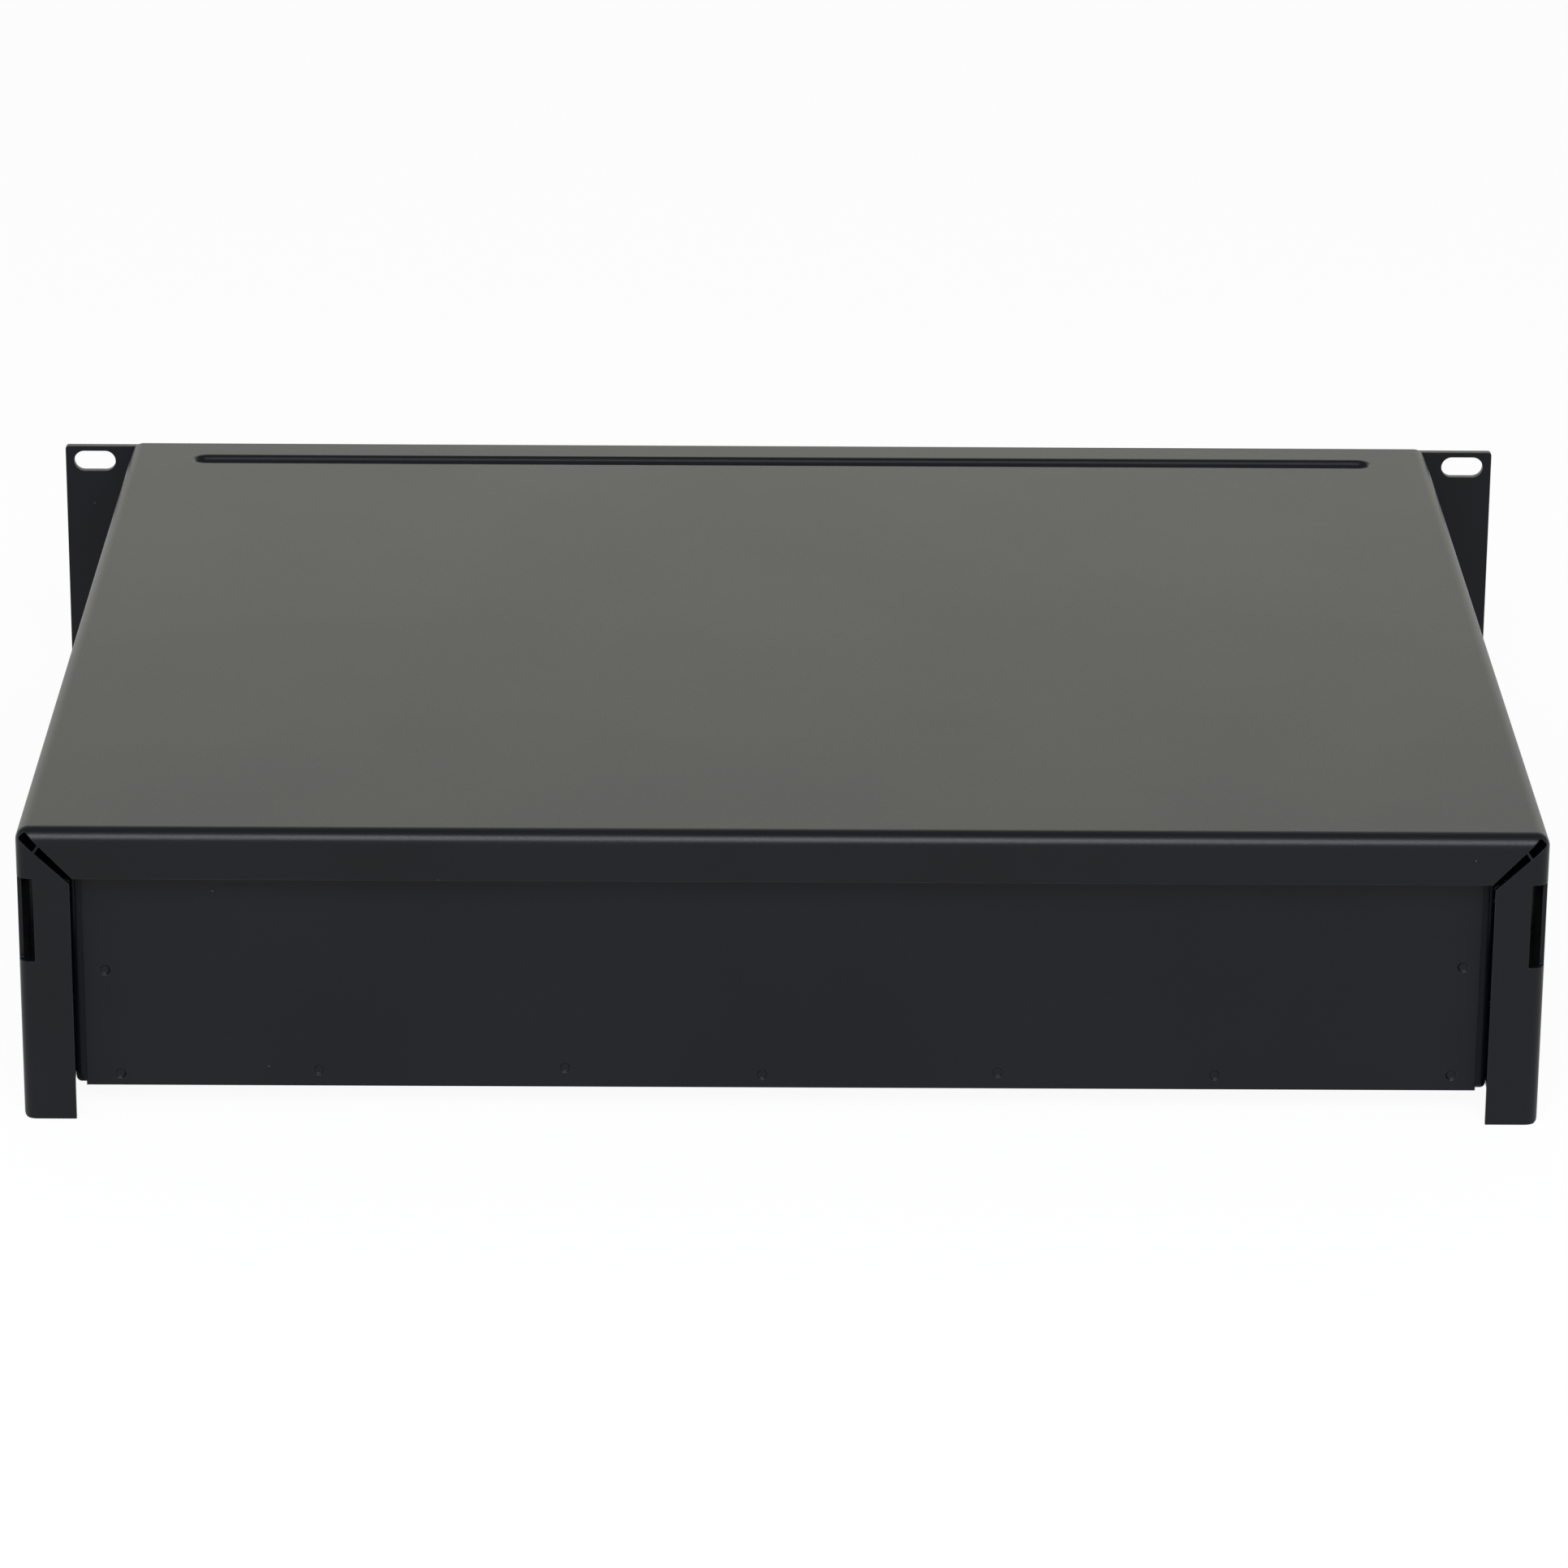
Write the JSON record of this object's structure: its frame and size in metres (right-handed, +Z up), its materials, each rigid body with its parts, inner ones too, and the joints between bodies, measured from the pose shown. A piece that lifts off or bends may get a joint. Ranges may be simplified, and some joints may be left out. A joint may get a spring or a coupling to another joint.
{
  "type": "sliding rack drawer",
  "caption": "Two-unit rack drawer: folded steel cover with slotted ears, and a shallow tray on telescopic ball slides with a bow handle and cam lock.",
  "frame": {"origin": "centre of the rack ears' bolt pattern, on the ears' rear faces", "axes": "+X right seen from the front, +Y to the back of the rack, +Z up; the drawer opens along -Y"},
  "size_m": [0.4826, 0.4084, 0.0888],
  "materials": {
    "cover_powder": "semi-matt black powder coat, fine texture",
    "ear_powder": "semi-matt black powder coat",
    "drawer_powder": "semi-matt black powder coat",
    "front_powder": "semi-matt black powder coat",
    "rivet_black": "black lacquered steel",
    "rail_black": "black electro-coated rolled steel",
    "screw_zinc": "zinc-plated steel",
    "ball_steel": "polished bearing steel",
    "cage_plastic": "natural moulded plastic",
    "lever_plastic": "black moulded plastic",
    "bumper_rubber": "black rubber",
    "handle_black": "black powder-coated steel bar",
    "lock_chrome": "chrome-plated zinc casting",
    "nut_zinc": "zinc-plated steel",
    "cam_zinc": "zinc-plated steel"
  },
  "bodies": {
    "chassis": {"outer_cover": "cover_powder", "lock_strike": "cover_powder", "rack_ear_left": "ear_powder", "ear_rivets_left": "rivet_black", "cabinet_rail_left": "rail_black", "cabinet_rail_rivets_left": "rivet_black", "rail_bumper_left": "bumper_rubber", "rack_ear_right": "ear_powder", "ear_rivets_right": "rivet_black", "cabinet_rail_right": "rail_black", "cabinet_rail_rivets_right": "rivet_black", "rail_bumper_right": "bumper_rubber"},
    "drawer": {"drawer_rail_left": "rail_black", "drawer_rail_screws_left": "screw_zinc", "lever_pin_left": "screw_zinc", "drawer_rail_right": "rail_black", "drawer_rail_screws_right": "screw_zinc", "lever_pin_right": "screw_zinc", "drawer_tray": "drawer_powder", "drawer_back": "drawer_powder", "drawer_front": "front_powder", "front_fixing_screws": "screw_zinc", "pull_handle": "handle_black", "handle_screws": "screw_zinc", "lock_housing": "lock_chrome", "lock_nut": "nut_zinc"},
    "intermediate_left": {"intermediate_rail_left": "rail_black"},
    "outer_bearing_left": {"outer_cage_left": "cage_plastic", "outer_balls_left": "ball_steel"},
    "inner_bearing_left": {"inner_cage_left": "cage_plastic", "inner_balls_left": "ball_steel"},
    "lever_left": {"release_lever_left": "lever_plastic"},
    "intermediate_right": {"intermediate_rail_right": "rail_black"},
    "outer_bearing_right": {"outer_cage_right": "cage_plastic", "outer_balls_right": "ball_steel"},
    "inner_bearing_right": {"inner_cage_right": "cage_plastic", "inner_balls_right": "ball_steel"},
    "lever_right": {"release_lever_right": "lever_plastic"},
    "lock_core": {"lock_plug": "lock_chrome", "lock_cam": "cam_zinc", "cam_screw": "screw_zinc"}
  },
  "joints": [
    {"name": "drawer_slide", "type": "slide", "parent": "chassis", "child": "drawer", "axis": [0, -1, 0], "range_m": [0, 0.35]},
    {"name": "intermediate_slide_left", "type": "slide", "parent": "chassis", "child": "intermediate_left", "axis": [0, -1, 0], "range_m": [0, 0.175]},
    {"name": "outer_bearing_slide_left", "type": "slide", "parent": "chassis", "child": "outer_bearing_left", "axis": [0, -1, 0], "range_m": [0, 0.0875]},
    {"name": "inner_bearing_slide_left", "type": "slide", "parent": "chassis", "child": "inner_bearing_left", "axis": [0, -1, 0], "range_m": [0, 0.2625]},
    {"name": "lever_turn_left", "type": "hinge", "parent": "drawer", "child": "lever_left", "pos_m": [-0.2072, 0.198, 0], "axis": [1, 0, 0], "range_deg": [0, 8], "stiffness_Nm_per_rad": 0.05},
    {"name": "intermediate_slide_right", "type": "slide", "parent": "chassis", "child": "intermediate_right", "axis": [0, -1, 0], "range_m": [0, 0.175]},
    {"name": "outer_bearing_slide_right", "type": "slide", "parent": "chassis", "child": "outer_bearing_right", "axis": [0, -1, 0], "range_m": [0, 0.0875]},
    {"name": "inner_bearing_slide_right", "type": "slide", "parent": "chassis", "child": "inner_bearing_right", "axis": [0, -1, 0], "range_m": [0, 0.2625]},
    {"name": "lever_turn_right", "type": "hinge", "parent": "drawer", "child": "lever_right", "pos_m": [0.2072, 0.198, 0], "axis": [1, 0, 0], "range_deg": [0, 8], "stiffness_Nm_per_rad": 0.05},
    {"name": "lock_turn", "type": "hinge", "parent": "drawer", "child": "lock_core", "pos_m": [0, 0, 0.016], "axis": [0, 1, 0], "range_deg": [0, 90]}
  ],
  "couplings": [
    {"joint": "intermediate_slide_left", "follows": "drawer_slide", "ratio": 0.5},
    {"joint": "outer_bearing_slide_left", "follows": "drawer_slide", "ratio": 0.25},
    {"joint": "inner_bearing_slide_left", "follows": "drawer_slide", "ratio": 0.75},
    {"joint": "intermediate_slide_right", "follows": "drawer_slide", "ratio": 0.5},
    {"joint": "outer_bearing_slide_right", "follows": "drawer_slide", "ratio": 0.25},
    {"joint": "inner_bearing_slide_right", "follows": "drawer_slide", "ratio": 0.75}
  ]
}
